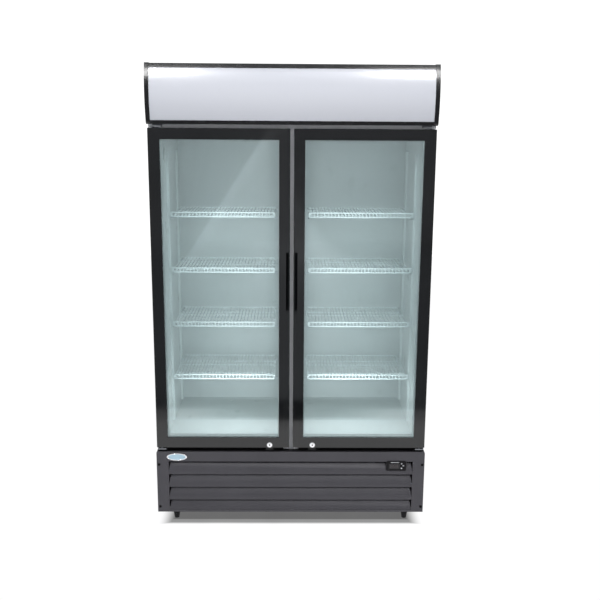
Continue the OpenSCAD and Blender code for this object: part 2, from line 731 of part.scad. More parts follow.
module condenser_coil() color(steel) union() {
  fins(cond_x, cond_y, cond_z, count = 42, fin_t = 1);
  // end plates
  for (x = [cond_x[0] - 3, cond_x[1] - 1])
    block([x, x + 4], [cond_y[0] - 2, cond_y[1] + 2], [z_pan, cond_z[1] + 6]);
  // return bends, right then left
  for (z = [56 : 48 : 248], y = [cond_y[0] + 20, cond_y[1] - 20])
    u_bend(cond_x[1] + 2, y, [z, z + 24], r = 4.5);
  for (z = [80 : 48 : 224], y = [cond_y[0] + 20, cond_y[1] - 20])
    mirror([1, 0, 0]) u_bend(2 - cond_x[0], y, [z, z + 24], r = 4.5);
}

module condenser_shroud() color(paint) union() {
  difference() {
    block(around(cond_fan_x, 120), [shroud_y, shroud_y + 2], [40, 280]);
    rod_y([shroud_y - 5, shroud_y + 10], cond_fan_x, cond_fan_z, r = shroud_r);
  }
  difference() {
    rod_y([shroud_y, shroud_y + 28], cond_fan_x, cond_fan_z, r = shroud_r + 4);
    rod_y([shroud_y - 1, shroud_y + 29], cond_fan_x, cond_fan_z, r = shroud_r);
  }
  // feet and motor bracket
  both_at(cond_fan_x) block([-120, -118], [shroud_y, -60], [z_pan, 60]);
  for (a = [-1, 1])
    block(around(cond_fan_x + a * 106, 2), [-112.5, -62], around(cond_fan_z, 12));
  block(around(cond_fan_x, 108), [-65.8, -61], around(cond_fan_z, 12));
}

// Fan on the z axis: hub with tilted blades, bored for its shaft
module fan(r, hub, depth, blades) difference() {
  union() {
    cylinder(r = hub, h = depth);
    for (i = [0 : blades - 1])
      rotate([0, 0, i * 360 / blades]) translate([hub - 2, 0, depth / 2]) rotate([28, 0, 0])
        linear_extrude(2.2, center = true)
          polygon([[0, -hub * 0.5], [r - hub, -hub * 0.95], [r - hub + 1.2, 0],
            [r - hub, hub * 0.95], [0, hub * 0.5]]);
  }
  translate([0, 0, -1]) cylinder(r = 3.05, h = depth + 2);
}

module condenser_fan() color(fan_black)
  translate([cond_fan_x, shroud_y + 4, cond_fan_z]) rotate([-90, 0, 0])
    fan(r = 96, hub = 24, depth = 18, blades = 5);

module refrigerant_tubing() color(copper) {
  start_z = stub_z + 0.3;
  cond_end_x = cond_x[1] + 3.4;
  evap_end_x = evap_hw + 4.4;
  discharge_x = comp_x - stub_off;
  suction_y = comp_y - stub_off;
  cross_y = 276;               // lines running across behind the evaporator coil
  // discharge line to the condenser
  pipe([[discharge_x, comp_y, start_z], [discharge_x, comp_y, 274], [40, comp_y, 274],
    [40, cond_line_y, 274], [40, cond_line_y, 262], [cond_end_x, cond_line_y, 262]], r = 4);
  // liquid line, drier and capillary to the evaporator
  union() {
    pipe([[cond_end_x, cond_line_y, 50], [liquid_x, cond_line_y, 50], [liquid_x, line_y, 50],
      [liquid_x, line_y, 181]], r = 3);
    rod_z([180, 262], liquid_x, line_y, r = 11);
    pipe([[liquid_x, line_y, 261], [liquid_x, line_y, capillary_z],
      [liquid_x, cross_y, capillary_z], [444, cross_y, capillary_z],
      [444, 215, capillary_z], [evap_end_x, 215, capillary_z]], r = 2);
  }
  // suction line back to the compressor
  pipe([[comp_x, suction_y, start_z], [comp_x, suction_y, 284], [suction_x, suction_y, 284],
    [suction_x, line_y, 284], [suction_x, line_y, suction_z], [suction_x, cross_y, suction_z],
    [458, cross_y, suction_z], [458, 200, suction_z], [evap_end_x, 200, suction_z]], r = 4);
}

module condensate_tray() color(tray_black) difference() {
  block([-480, -250], [90, 310], [z_pan, 80]);
  block([-477.5, -252.5], [92.5, 307.5], [z_pan + 2.5, 82]);
}

module rear_grille() color(paint) difference() {
  block(sym(fit_hw), [y_back - 2, y_back], [z_panel + 3, z_bay]);
  for (i = [0 : 6], x = [-430, -215, 0, 215])
    block([x, x + 180], [y_back - 4, y_back + 2], [z_panel + 40 + i * 28, z_panel + 50 + i * 28]);
  rod_y([y_back - 5, y_back + 3], cord_x, cord_z, r = 7);
}

module power_cord() color(black) union() {
  pipe([[comp_x + 112.6, comp_y, 130], [cord_x, comp_y, 130], [cord_x, comp_y, cord_z],
    [cord_x, cord_y, cord_z], [cord_x, cord_y, 620], [300, cord_y, 620],
    [300, cord_y, 330]], r = 3.6);
  // flat plug and its blades
  block([286, 314], [y_back + 0.8, y_back + 12.6], [276, 334]);
  for (x = [293, 305]) block([x, x + 1.6], [y_back + 3, y_back + 9.5], [260, 277]);
  // strain relief
  rod_y([y_back + 0.2, y_back + 5], cord_x, cord_z, r = 11);
}

// ---- evaporator ------------------------------------------------------------
evap_z = z_open + 12;          // underside of the evaporator housing
evap_hw = 430;                 // half width of the fin pack
evap_fan_x = 230;
evap_fan_y = 60;

module fan_motors() color(motor_grey) {
  // condenser motor and shaft
  union() {
    rod_y([-114, -66], cond_fan_x, cond_fan_z, r = 32);
    rod_y([-132, -113], cond_fan_x, cond_fan_z, r = 3);
  }
  // evaporator motors and shafts, each hung from a bridge
  both() union() {
    rod_z([evap_z + 30, evap_z + 68], -evap_fan_x, evap_fan_y, r = 30);
    rod_z([evap_z + 12, evap_z + 31], -evap_fan_x, evap_fan_y, r = 3);
    block(around(-evap_fan_x, 88), around(evap_fan_y, 6), [evap_z + 66, evap_z + 70]);
    both_at(-evap_fan_x)
      block([-88, -85], around(evap_fan_y, 6), [evap_z + 3, evap_z + 68]);
  }
}

module evaporator_housing() color(white) difference() {
  union() {
    difference() {
      block(sym(500), [-140, y_rear - 3], [evap_z, z_body - 62 - gap]);
      block(sym(498.5), [-138.5, y_rear - 4.5], [evap_z + 1.5, z_body]);
      both() rod_z([evap_z - 1, evap_z + 3], -evap_fan_x, evap_fan_y, r = 84);
    }
    // wire guards: rings and crossed bars
    both() for (r = [24, 44, 64, 86.5])
      translate([-evap_fan_x, evap_fan_y, evap_z - 2]) difference() {
        cylinder(r = r + 1.2, h = r > 80 ? 2.6 : 2.4);
        translate([0, 0, -1]) cylinder(r = r - 1.2, h = 5);
      }
    both() translate([-evap_fan_x, evap_fan_y, evap_z - 3])
      for (a = [15, 105]) rotate([0, 0, a]) block(sym(87), sym(1.5), [0, 1.8]);
  }
  // line holes
  rod_y([y_rear - 6, y_rear], suction_x, suction_z, r = 6);
  rod_y([y_rear - 6, y_rear], liquid_x, capillary_z, r = 4);
  // discharge slots along the front face
  for (x = [-450 : 60 : 450]) block(around(x, 24), [-145, -130], [evap_z + 30, evap_z + 36]);
}

module evaporator_coil() color(steel) union() {
  fins(sym(evap_hw), [165, 265], [evap_z + 18, evap_z + 100], count = 60, fin_t = 1.2);
  // end plates
  for (x = [-evap_hw - 4, evap_hw])
    block([x, x + 4], [163, 267], [evap_z + 12, evap_z + 104]);
  // return bends, right then left
  for (y = [190, 240]) u_bend(evap_hw + 3, y, [evap_z + 22, evap_z + 42], r = 4);
  mirror([1, 0, 0]) for (z = [evap_z + 22, evap_z + 68], y = [190, 240])
    u_bend(evap_hw + 3, y, [z, z + 20], r = 4);
}

module evaporator_fan(s) side(s) color(fan_white)
  translate([-evap_fan_x, evap_fan_y, evap_z + 9]) fan(r = 74, hub = 20, depth = 16, blades = 5);

// ---- feet ------------------------------------------------------------------
// Tapered pad, collar and stud with a crossed slot in its top
module foot(x, y) color(gloss) translate([x, y, 0]) difference() {
  union() {
    cylinder(r1 = 11, r2 = 14.5, h = foot_h - 7);
    translate([0, 0, foot_h - 7]) cylinder(r = 14.5, h = 4);
    translate([0, 0, foot_h - 4]) cylinder(r = 5, h = 36);
  }
  translate([0, 0, foot_h + 28]) for (a = [0, 90])
    rotate([0, 0, a]) translate([-6, -0.8, 0]) cube([12, 1.6, 6]);
}

side_panels();
back_panel();
top_panel();
base_frame();
insulation();
inner_liner();
front_frame();
shelf_uprights();
shelf_clips();
evaporator_housing();
evaporator_coil();
fan_motors();
compressor();
condenser_coil();
condenser_shroud();
refrigerant_tubing();
condensate_tray();
power_cord();
rear_grille();
front_grille();
screws();
controller_body();
controller_display();
badge();
led_lamps();
canopy_housing();
canopy_sign_panel();
canopy_end_caps();
canopy_trims();
hinge_brackets();
condenser_fan();
evaporator_fan(left);  // evaporator_fan_left
evaporator_fan(right);  // evaporator_fan_right
wire_shelf(left, 3);  // shelf_left_1
wire_shelf(left, 2);  // shelf_left_2
wire_shelf(left, 1);  // shelf_left_3
wire_shelf(left, 0);  // shelf_left_4
wire_shelf(right, 3);  // shelf_right_1
wire_shelf(right, 2);  // shelf_right_2
wire_shelf(right, 1);  // shelf_right_3
wire_shelf(right, 0);  // shelf_right_4
foot(-foot_x, foot_front_y);  // foot_front_left
foot(foot_x, foot_front_y);  // foot_front_right
foot(-foot_x, foot_rear_y);  // foot_rear_left
foot(foot_x, foot_rear_y);  // foot_rear_right
button(0);  // button_set
button(1);  // button_up
button(2);  // button_down
door_frame(left);  // door_frame_left
door_frame(right);  // door_frame_right
door_glass(left);  // door_glass_left
door_glass(right);  // door_glass_right
glass_spacer(left);  // glass_spacer_left
glass_spacer(right);  // glass_spacer_right
gasket(left);  // gasket_left
gasket(right);  // gasket_right
lock_barrel(left);  // lock_barrel_left
lock_barrel(right);  // lock_barrel_right
lock_plug(left);  // lock_plug_left
lock_plug(right);  // lock_plug_right
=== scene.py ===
"""Upright display cooler: two glass doors, wire shelves, a sign canopy on top and a grille below.

Metres, +Z up, floor at z = 0. The doors face -Y, so the back is +Y, and left is -X.
The CAD pieces get materials and soft edges. The shelves, fan rotors, power cord and badge are
modelled anew, and small marks are added to the controller and the locks.
"""
import bpy, bmesh, json, math
from mathutils import Vector, Matrix


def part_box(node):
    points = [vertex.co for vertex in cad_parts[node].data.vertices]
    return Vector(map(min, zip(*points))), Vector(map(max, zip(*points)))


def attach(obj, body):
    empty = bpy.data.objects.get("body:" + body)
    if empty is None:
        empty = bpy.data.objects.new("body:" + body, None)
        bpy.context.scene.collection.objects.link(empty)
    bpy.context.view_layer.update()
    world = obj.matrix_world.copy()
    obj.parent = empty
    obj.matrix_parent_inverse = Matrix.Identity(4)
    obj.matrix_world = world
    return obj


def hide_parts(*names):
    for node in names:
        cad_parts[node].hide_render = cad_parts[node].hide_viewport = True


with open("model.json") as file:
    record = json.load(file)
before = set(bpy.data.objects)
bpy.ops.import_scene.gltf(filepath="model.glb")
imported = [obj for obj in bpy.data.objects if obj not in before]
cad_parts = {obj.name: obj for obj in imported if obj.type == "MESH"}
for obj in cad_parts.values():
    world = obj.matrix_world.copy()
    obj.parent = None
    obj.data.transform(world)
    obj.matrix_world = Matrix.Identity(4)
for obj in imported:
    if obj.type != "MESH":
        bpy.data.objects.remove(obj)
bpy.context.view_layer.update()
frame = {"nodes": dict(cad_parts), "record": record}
NODES = frame["nodes"]
BODY = {node: body for body, nodes in frame["record"]["behaviour"]["bodies"].items()
        for node in nodes}
SLOT = {part["node"]: part["material_slot"] for part in frame["record"]["subparts"]}
MATERIALS = {}
scene = bpy.context.scene


# ---------------------------------------------------------------- shader building
class Shader:
    """Builds the node tree of a material or world."""

    def __init__(self, owner, output_kind, coordinates):
        owner.use_nodes = True
        self.tree = owner.node_tree
        self.tree.nodes.clear()
        self.output = self.node(output_kind)
        self.coords = self.node("TexCoord").outputs[coordinates]

    def node(self, kind, inputs=None, **properties):
        node = self.tree.nodes.new("ShaderNode" + kind)
        for key, value in properties.items():
            setattr(node, key, value)
        for key, value in (inputs or {}).items():
            self.put(node.inputs[key], value)
        return node

    def put(self, socket, value):
        """Link a socket, or set a number, vector or RGB colour."""
        if isinstance(value, bpy.types.NodeSocket):
            self.tree.links.new(value, socket)
        elif socket.type == "RGBA":
            socket.default_value = (*value, 1)
        else:
            socket.default_value = value

    def noise(self, scale, detail=4, rough=0.55, stretch=None, distortion=0.0):
        """Noise on the object; stretch multiplies the coordinates along X, Y and Z."""
        coords = self.coords
        if stretch:
            coords = self.node("Mapping", {"Vector": coords, "Scale": stretch}).outputs[0]
        return self.node("TexNoise", {
            "Vector": coords, "Scale": scale, "Detail": detail, "Roughness": rough,
            "Distortion": distortion}).outputs["Fac"]

    def ramp(self, value, over=(0.3, 0.7), to=(0, 1), smooth=False):
        """Map the range `over` onto the range `to`, held at both ends."""
        kind = "SMOOTHSTEP" if smooth else "LINEAR"
        return self.node("MapRange", {
            "Value": value, "From Min": over[0], "From Max": over[1],
            "To Min": to[0], "To Max": to[1]}, interpolation_type=kind).outputs["Result"]

    def math(self, operation, a, b=0.0):
        return self.node("Math", {0: a, 1: b}, operation=operation).outputs[0]

    def add(self, a, b):
        return self.math("ADD", a, b)

    def times(self, a, b):
        return self.math("MULTIPLY", a, b)

    def highest(self, a, b):
        return self.math("MAXIMUM", a, b)

    def mix(self, factor, a, b):
        return self.node("Mix", {0: factor, 6: a, 7: b}, data_type="RGBA").outputs[2]

    def mix_shader(self, factor, a, b):
        return self.node("MixShader", {0: factor, 1: a, 2: b}).outputs[0]

    def emission(self, color, strength):
        return self.node("Emission", {0: color, 1: strength}).outputs[0]

    def bump(self, height, strength, distance):
        return self.node("Bump", {
            "Strength": strength, "Distance": distance, "Height": height}).outputs[0]

    def principled(self, inputs):
        return self.node("BsdfPrincipled", inputs).outputs[0]

    def axes(self):
        return self.node("SeparateXYZ", {0: self.coords}).outputs

    def edge(self):
        """1 on sharp outer and inner edges, 0 on flats."""
        bevel = self.node("Bevel", {"Radius": 0.0025}, samples=4)
        normal = self.node("NewGeometry").outputs["Normal"]
        dot = self.node("VectorMath", {0: bevel.outputs[0], 1: normal}, operation="DOT_PRODUCT")
        return self.ramp(dot.outputs["Value"], over=(0.86, 0.99), to=(1, 0))

    def up(self):
        """1 on faces that look up."""
        normal = self.node("NewGeometry").outputs["Normal"]
        height = self.node("SeparateXYZ", {0: normal}).outputs["Z"]
        return self.ramp(height, over=(0.5, 0.95))

    def finish(self, surface):
        self.put(self.output.inputs["Surface"], surface)


def material_shader(name):
    MATERIALS[name] = bpy.data.materials.new(name)
    return Shader(MATERIALS[name], "OutputMaterial", "Object")


def tone(color, factor, lift=0.0):
    return tuple(min(1, channel * factor + lift) for channel in color)


# ---------------------------------------------------------------- kinds of material
def painted(name, base, rough, peel, peel_scale, var, coat=0.0, spec=0.5, metallic=0.0,
            wear=0.0, wear_color=(0.3, 0.3, 0.31), dust=0.0, crease_shade=0.0):
    """Paint or moulded plastic. peel: orange-peel bump; var: mottling; wear: rubbed edges;
    dust: on top faces; crease_shade: how far painted shade reaches out of the folds, in metres."""
    s = material_shader(name)
    patches = s.noise(3.1, detail=5, rough=0.6)
    specks = s.noise(48, detail=4, rough=0.6)
    color = s.mix(s.ramp(patches, over=(0.35, 0.65)),
                  tone(base, 1 - var), tone(base, 1 + var, lift=0.002))
    color = s.mix(s.ramp(specks, over=(0.45, 0.75), to=(0, 0.35)),
                  color, tone(base, 1 - var * 1.4))
    if dust:
        drift = s.ramp(s.noise(21, detail=6, rough=0.7), over=(0.35, 0.7), to=(0, dust))
        color = s.mix(s.times(s.up(), drift), color, (0.42, 0.41, 0.39))
    if wear:
        rubs = s.ramp(s.noise(75, detail=5, rough=0.7), over=(0.45, 0.68), to=(0, wear))
        color = s.mix(s.times(s.edge(), rubs), color, wear_color)
    # painted shade: colour and gloss darken in folds and recesses, by ambient occlusion
    if crease_shade:
        occlusion = s.node("AmbientOcclusion", {"Distance": crease_shade}, samples=8)
        openness = s.ramp(occlusion.outputs["AO"], over=(0.22, 0.80))
        color = s.mix(openness, tone(base, 0.12), color)
        spec = s.times(openness, spec)
    roughness = s.ramp(s.noise(9, detail=5, rough=0.65),
                       to=(max(0.02, rough - 0.07), rough + 0.09))
    scratches = s.noise(34, detail=3, rough=0.6, stretch=(1, 1, 14))
    roughness = s.add(roughness, s.ramp(scratches, over=(0.55, 0.75), to=(0, 0.05)))
    coarse = s.noise(peel_scale, detail=2, rough=0.4)
    fine = s.noise(peel_scale * 4, detail=2, rough=0.5)
    height = s.add(coarse, s.times(fine, 0.35))
    s.finish(s.principled({
        "Base Color": color, "Roughness": roughness, "Metallic": metallic,
        "Coat Weight": coat, "Coat Roughness": 0.06, "Specular IOR Level": spec,
        "Normal": s.bump(height, strength=peel, distance=0.0006)}))


def metal(name, base, rough, bump, grain=(1, 1, 1), var=0.08, spots=0.0):
    """Bare or plated metal. grain stretches its drawn marks; spots adds lighter crystals."""
    s = material_shader(name)
    drawn = s.noise(70, detail=5, rough=0.6, stretch=grain)
    handling = s.noise(6, detail=5, rough=0.6)
    color = s.mix(s.ramp(drawn), tone(base, 1 - var), tone(base, 1 + var))
    color = s.mix(s.ramp(handling, over=(0.5, 0.75), to=(0, 0.5)), color, tone(base, 0.82))
    if spots:
        cells = s.node("TexVoronoi", {"Scale": 55, "Vector": s.coords}).outputs["Color"]
        shade = s.node("SeparateColor", {"Color": cells}).outputs[0]
        color = s.mix(s.times(shade, spots), color, tone(base, 1.25))
    roughness = s.add(s.ramp(drawn, to=(rough - 0.06, rough + 0.08)),
                      s.ramp(handling, over=(0.45, 0.7), to=(0, 0.08)))
    s.finish(s.principled({
        "Base Color": color, "Metallic": 1.0, "Roughness": roughness,
        "Normal": s.bump(drawn, strength=bump, distance=0.0003)}))


def rubber(name, base, rough):
    s = material_shader(name)
    grain = s.noise(420, detail=3, rough=0.6)
    patches = s.ramp(s.noise(14, detail=5, rough=0.65), over=(0.35, 0.7))
    s.finish(s.principled({
        "Base Color": s.mix(patches, tone(base, 0.8), tone(base, 1.25, lift=0.004)),
        "Roughness": s.ramp(s.noise(40), to=(rough - 0.1, rough + 0.12)),
        "Specular IOR Level": 0.4,
        "Normal": s.bump(grain, strength=0.25, distance=0.0003)}))


def clear_sheet(name, tint, haze, ior, reflection):
    """Thin clear sheet: light goes straight through, slightly tinted, and reflects by angle."""
    s = material_shader(name)
    # the same angle law on both faces, so no total reflection from inside
    backfacing = s.node("NewGeometry").outputs["Backfacing"]
    fresnel = s.node("Fresnel", {"IOR": s.add(s.times(backfacing, 1 / ior - ior), ior)})
    smears = s.noise(5, detail=6, rough=0.7, stretch=(1, 1, 0.35), distortion=0.6)
    smears = s.ramp(smears, over=(0.4, 0.75), to=(0, 0.014))
    tinted = s.mix(s.ramp(s.noise(1.7, detail=3)), tint, tone(tint, 1.01))
    through = s.node("BsdfTransparent", {0: tinted}).outputs[0]
    mirror = s.node("BsdfGlossy", {
        "Color": (0.96, 0.99, 1.0),
        "Roughness": s.ramp(s.noise(60), over=(0.4, 0.8), to=(0.004, 0.02))}).outputs[0]
    dull = s.node("BsdfDiffuse", {0: haze}).outputs[0]
    sheet = s.mix_shader(smears, through, dull)
    s.finish(s.mix_shader(s.times(fresnel.outputs[0], reflection), sheet, mirror))


def opal(name, base, glow, rough, coat, foot=None):
    """Opal plastic. foot = (z from, z to, factor at the bottom) paints shade in, darker towards
    the bottom.
    """
    s = material_shader(name)
    color = s.mix(s.ramp(s.noise(2.3), over=(0.35, 0.65)), tone(base, 0.985), base)
    # painted shade: the colour darkens towards the bottom
    if foot:
        z_from, z_to, shade = foot
        rise = s.ramp(s.axes()["Z"], over=(z_from, z_to), smooth=True)
        color = s.mix(rise, tone(base, shade), color)
    s.finish(s.principled({
        "Base Color": color,
        "Roughness": s.ramp(s.noise(30), to=(rough - 0.04, rough + 0.06)),
        "Coat Weight": coat, "Coat Roughness": 0.08,
        "Emission Color": base, "Emission Strength": glow,
        "Normal": s.bump(s.noise(180, detail=2), strength=0.02, distance=0.0004)}))


# ---------------------------------------------------------------- materials, named by slot
painted("shell_paint", (0.045, 0.045, 0.05), rough=0.38, coat=0.15, peel=0.10, peel_scale=240,
        var=0.10, wear=0.25, dust=0.14)
metal("galvanised", (0.56, 0.57, 0.58), rough=0.42, bump=0.06, var=0.10, spots=0.35)
painted("base_paint", (0.010, 0.010, 0.011), rough=0.42, coat=0.05, peel=0.10, peel_scale=300,
        var=0.15, wear=0.3, dust=0.3)
painted("foam", (0.72, 0.60, 0.33), rough=0.85, peel=0.6, peel_scale=120, var=0.2)
painted("liner_white", (0.598, 0.62, 0.616), rough=0.32, coat=0.1, peel=0.04, peel_scale=200,
        var=0.02)
painted("frame_grey", (0.68, 0.695, 0.73), rough=0.36, coat=0.1, peel=0.03, peel_scale=260,
        var=0.04)
painted("upright_white", (0.66, 0.69, 0.685), rough=0.35, coat=0.1, peel=0.04, peel_scale=300,
        var=0.03)
metal("clip_zinc", (0.72, 0.73, 0.75), rough=0.28, bump=0.05)
metal("fin_aluminium", (0.68, 0.69, 0.70), rough=0.35, bump=0.08, grain=(1, 60, 1))
painted("motor_paint", (0.035, 0.036, 0.04), rough=0.45, peel=0.12, peel_scale=300, var=0.15,
        wear=0.4)
painted("compressor_black", (0.012, 0.012, 0.013), rough=0.35, coat=0.2, peel=0.15,
        peel_scale=160, var=0.2, wear=0.3, dust=0.4)
metal("copper_tube", (0.78, 0.40, 0.24), rough=0.26, bump=0.05, var=0.16)
painted("black_plastic", (0.012, 0.012, 0.013), rough=0.42, peel=0.25, peel_scale=620,
        var=0.15, dust=0.15)
rubber("cord_rubber", (0.014, 0.014, 0.015), rough=0.55)
# the louvre panel gets painted shade in its slots and folds
painted("panel_charcoal", (0.055, 0.053, 0.063), rough=0.42, peel=0.12, peel_scale=340,
        var=0.07, spec=0.42, wear=0.2, wear_color=(0.13, 0.13, 0.14), dust=0.06, crease_shade=0.045)
painted("screw_black", (0.002, 0.002, 0.002), rough=0.5, peel=0.1, peel_scale=500, var=0.2,
        spec=0.08)
painted("display_glass", (0.021, 0.020, 0.023), rough=0.16, coat=0.22, peel=0.01,
        peel_scale=100, var=0.05, spec=0.25)
painted("badge_metal", (0.42, 0.60, 0.72), rough=0.22, coat=0.6, peel=0.02, peel_scale=300,
        var=0.05)
opal("lamp_white", (0.92, 0.94, 0.92), glow=0.9, rough=0.25, coat=0.3)
# the sign's lower part gets painted shade
opal("sign_acrylic", (0.665, 0.685, 0.75), glow=0.0, rough=0.20, coat=0.38,
     foot=(1.752, 1.905, 0.80))
painted("cap_black", (0.005, 0.005, 0.006), rough=0.20, coat=0.25, peel=0.04, peel_scale=300,
        var=0.12, spec=0.35, wear=0.12)
painted("trim_black", (0.006, 0.006, 0.007), rough=0.24, coat=0.15, peel=0.04, peel_scale=300,
        var=0.1, spec=0.35, wear=0.12)
metal("bracket_zinc", (0.27, 0.28, 0.30), rough=0.44, bump=0.06)
painted("fan_black", (0.02, 0.02, 0.022), rough=0.4, peel=0.1, peel_scale=400, var=0.12,
        dust=0.2)
painted("wire_white", (0.80, 0.835, 0.838), rough=0.24, coat=0.35, peel=0.03, peel_scale=400,
        var=0.02)
painted("foot_black", (0.007, 0.007, 0.008), rough=0.55, peel=0.15, peel_scale=400, var=0.2,
        spec=0.12)
painted("door_black", (0.0045, 0.005, 0.006), rough=0.075, coat=0.35, peel=0.010,
        peel_scale=160, var=0.15, spec=0.45, dust=0.05)
clear_sheet("door_glass", tint=(0.938, 0.972, 0.977), haze=(0.55, 0.65, 0.65), ior=1.45,
            reflection=1.8)
painted("spacer_aluminium", (0.50, 0.54, 0.54), rough=0.40, peel=0.05, peel_scale=300,
        var=0.04, metallic=0.4)
rubber("gasket_grey", (0.05, 0.05, 0.052), rough=0.55)
metal("lock_chrome", (0.86, 0.86, 0.88), rough=0.10, bump=0.02, var=0.02)
painted("button_grey", (0.30, 0.31, 0.33), rough=0.4, peel=0.1, peel_scale=500, var=0.05)

# ---------------------------------------------------------------- CAD pieces
# name prefix: width of the softened edge; the first match counts
EDGE_WIDTHS = {
    "side_panels": 0.0004, "back_panel": 0.0006, "top_panel": 0.0003, "base_frame": 0.0006,
    "front_frame": 0.0008, "canopy_end_caps": 0.0022, "canopy_trims": 0.0007,
    "door_frame": 0.0014, "front_grille": 0.0005, "controller_body": 0.0008,
    "hinge_brackets": 0.0008, "screws": 0.0006, "lock_barrel": 0.0007, "lock_plug": 0.0005,
    "button": 0.0006, "foot": 0.0008, "evaporator_housing": 0.0005, "compressor": 0.0015,
    "fan_motors": 0.001, "condensate_tray": 0.0008, "canopy_sign_panel": 0.0008,
    "led_lamps": 0.001, "glass_spacer": 0.0005}
CREASE = math.radians(38)


def add_modifier(obj, name, kind, **settings):
    modifier = obj.modifiers.new(name, kind)
    for key, value in settings.items():
        setattr(modifier, key, value)


def dress(node, obj):
    """Give a CAD piece its material and soft edges."""
    obj.data.materials.clear()
    obj.data.materials.append(MATERIALS[SLOT[node]])
    add_modifier(obj, "weld", "WELD", merge_threshold=0.00001)
    width = next((w for prefix, w in EDGE_WIDTHS.items() if node.startswith(prefix)), None)
    if width:
        add_modifier(obj, "edge", "BEVEL", width=width, segments=2, limit_method="ANGLE",
                     angle_limit=CREASE, use_clamp_overlap=True)
    # sharp edges stay sharp and big flats stay flat next to rounded corners
    add_modifier(obj, "split", "EDGE_SPLIT", split_angle=CREASE, use_edge_sharp=False)
    add_modifier(obj, "flats", "WEIGHTED_NORMAL", mode="FACE_AREA", weight=80)
    obj.data.shade_smooth()


for node, obj in NODES.items():
    dress(node, obj)


# ---------------------------------------------------------------- mesh helpers
def add_object(name, data):
    obj = bpy.data.objects.new(name, data)
    scene.collection.objects.link(obj)
    return obj


def finish_piece(name, mesh, node, slot, material=None, crease=38, replaces=False):
    """Turn a bmesh into an object that moves with a CAD node and may take its place.
    The material is the slot's own unless another is named."""
    data = bpy.data.meshes.new(name)
    bmesh.ops.remove_doubles(mesh, verts=mesh.verts, dist=1e-7)
    bmesh.ops.recalc_face_normals(mesh, faces=mesh.faces)
    mesh.to_mesh(data)
    mesh.free()
    data.materials.append(MATERIALS[material or slot])
    data.shade_smooth()
    data.set_sharp_from_angle(angle=math.radians(crease))
    obj = add_object(name, data)
    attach(obj, BODY[node])
    if replaces:
        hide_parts(node)


def bridge(mesh, ring, following, shift=0):
    """Quads between two closed rings."""
    n = len(ring)
    for k in range(n):
        mesh.faces.new((ring[k], ring[(k + 1) % n],
                        following[(k + 1 + shift) % n], following[(k + shift) % n]))


def skirt(mesh, front, back):
    """Side walls from a front outline to its copy behind."""
    n = len(front)
    for k in range(n):
        mesh.faces.new((front[k], back[k], back[(k + 1) % n], front[(k + 1) % n]))


def ellipse(mesh, centre, half_x, half_z, y, sides):
    """Ring of vertices in the XZ plane at depth y."""
    angles = (2 * math.pi * k / sides for k in range(sides))
    return [mesh.verts.new((centre.x + half_x * math.cos(a), y, centre.z + half_z * math.sin(a)))
            for a in angles]


def rounded(points, radius, steps, closed=False):
    """Polyline with its corners replaced by arcs."""
    points = [Vector(point) for point in points]
    n = len(points)
    result = []
    for i, corner in enumerate(points):
        if not closed and i in (0, n - 1):
            result.append(corner)
            continue
        back = points[i - 1] - corner
        ahead = points[(i + 1) % n] - corner
        angle = back.angle(ahead)
        if angle > math.pi - 0.02:
            result.append(corner)
            continue
        # less than half of each leg goes to the arc
        fitted = min(radius, 0.49 * min(back.length, ahead.length) * math.tan(angle / 2))
        leg = fitted / math.tan(angle / 2)
        back.normalize()
        ahead.normalize()
        centre = corner + (back + ahead).normalized() * (fitted / math.sin(angle / 2))
        spoke = corner + back * leg - centre
        last_spoke = corner + ahead * leg - centre
        turn = spoke.angle(last_spoke)
        axis = spoke.cross(last_spoke).normalized()
        for k in range(steps + 1):
            result.append(centre + Matrix.Rotation(turn * k / steps, 3, axis) @ spoke)
    return result


def sweep(mesh, path, radius, sides, closed=False, dome=0.0):
    """Round rod along a path; dome is the length of its rounded ends over the radius."""
    path = [Vector(point) for point in path]
    n = len(path)
    tangents = []
    for i in range(n):
        before = path[i - 1] if (i > 0 or closed) else path[i]
        after = path[(i + 1) % n] if (i < n - 1 or closed) else path[i]
        tangents.append((after - before).normalized())
    reference = Vector((0, 0, 1)) if abs(tangents[0].z) < 0.9 else Vector((1, 0, 0))
    normal = (reference - tangents[0] * reference.dot(tangents[0])).normalized()
    rings = []

    def ring(centre, size=radius):
        side = tangent.cross(normal)
        angles = (2 * math.pi * k / sides for k in range(sides))
        rings.append([mesh.verts.new(centre + (normal * math.cos(a) + side * math.sin(a)) * size)
                      for a in angles])

    for i, (centre, tangent) in enumerate(zip(path, tangents)):
        if i:
            normal = tangents[i - 1].rotation_difference(tangent) @ normal
            normal = (normal - tangent * normal.dot(tangent)).normalized()
        cap = tangent * radius * dome
        if dome and i == 0:
            for a in map(math.radians, (80, 50, 22)):
                ring(centre - cap * math.sin(a) + cap, radius * math.cos(a))
            ring(centre + cap)
        elif dome and i == n - 1:
            ring(centre - cap)
            for a in map(math.radians, (22, 50, 80)):
                ring(centre + cap * math.sin(a) - cap, radius * math.cos(a))
        else:
            ring(centre)
    for ring_a, ring_b in zip(rings, rings[1:]):
        bridge(mesh, ring_a, ring_b)
    if closed:
        # turn the first ring to the best match, so the last stretch isn't twisted
        last, first = rings[-1], rings[0]
        shift = min(range(sides), key=lambda s: sum(
            (last[k].co - first[(k + s) % sides].co).length for k in range(0, sides, 3)))
        bridge(mesh, last, first, shift)
    else:
        mesh.faces.new(list(reversed(rings[0])))
        mesh.faces.new(rings[-1])


def slab(mesh, x_span, y_span, z_span, bevel, segments):
    """Box with bevelled edges."""
    verts = bmesh.ops.create_cube(mesh, size=1.0)["verts"]
    for vert in verts:
        vert.co = [(low + high) / 2 + unit * (high - low)
                   for (low, high), unit in zip((x_span, y_span, z_span), vert.co)]
    edges = list({edge for vert in verts for edge in vert.link_edges})
    bmesh.ops.bevel(mesh, geom=edges, offset=bevel, segments=segments, affect="EDGES",
                    profile=0.5, clamp_overlap=True)


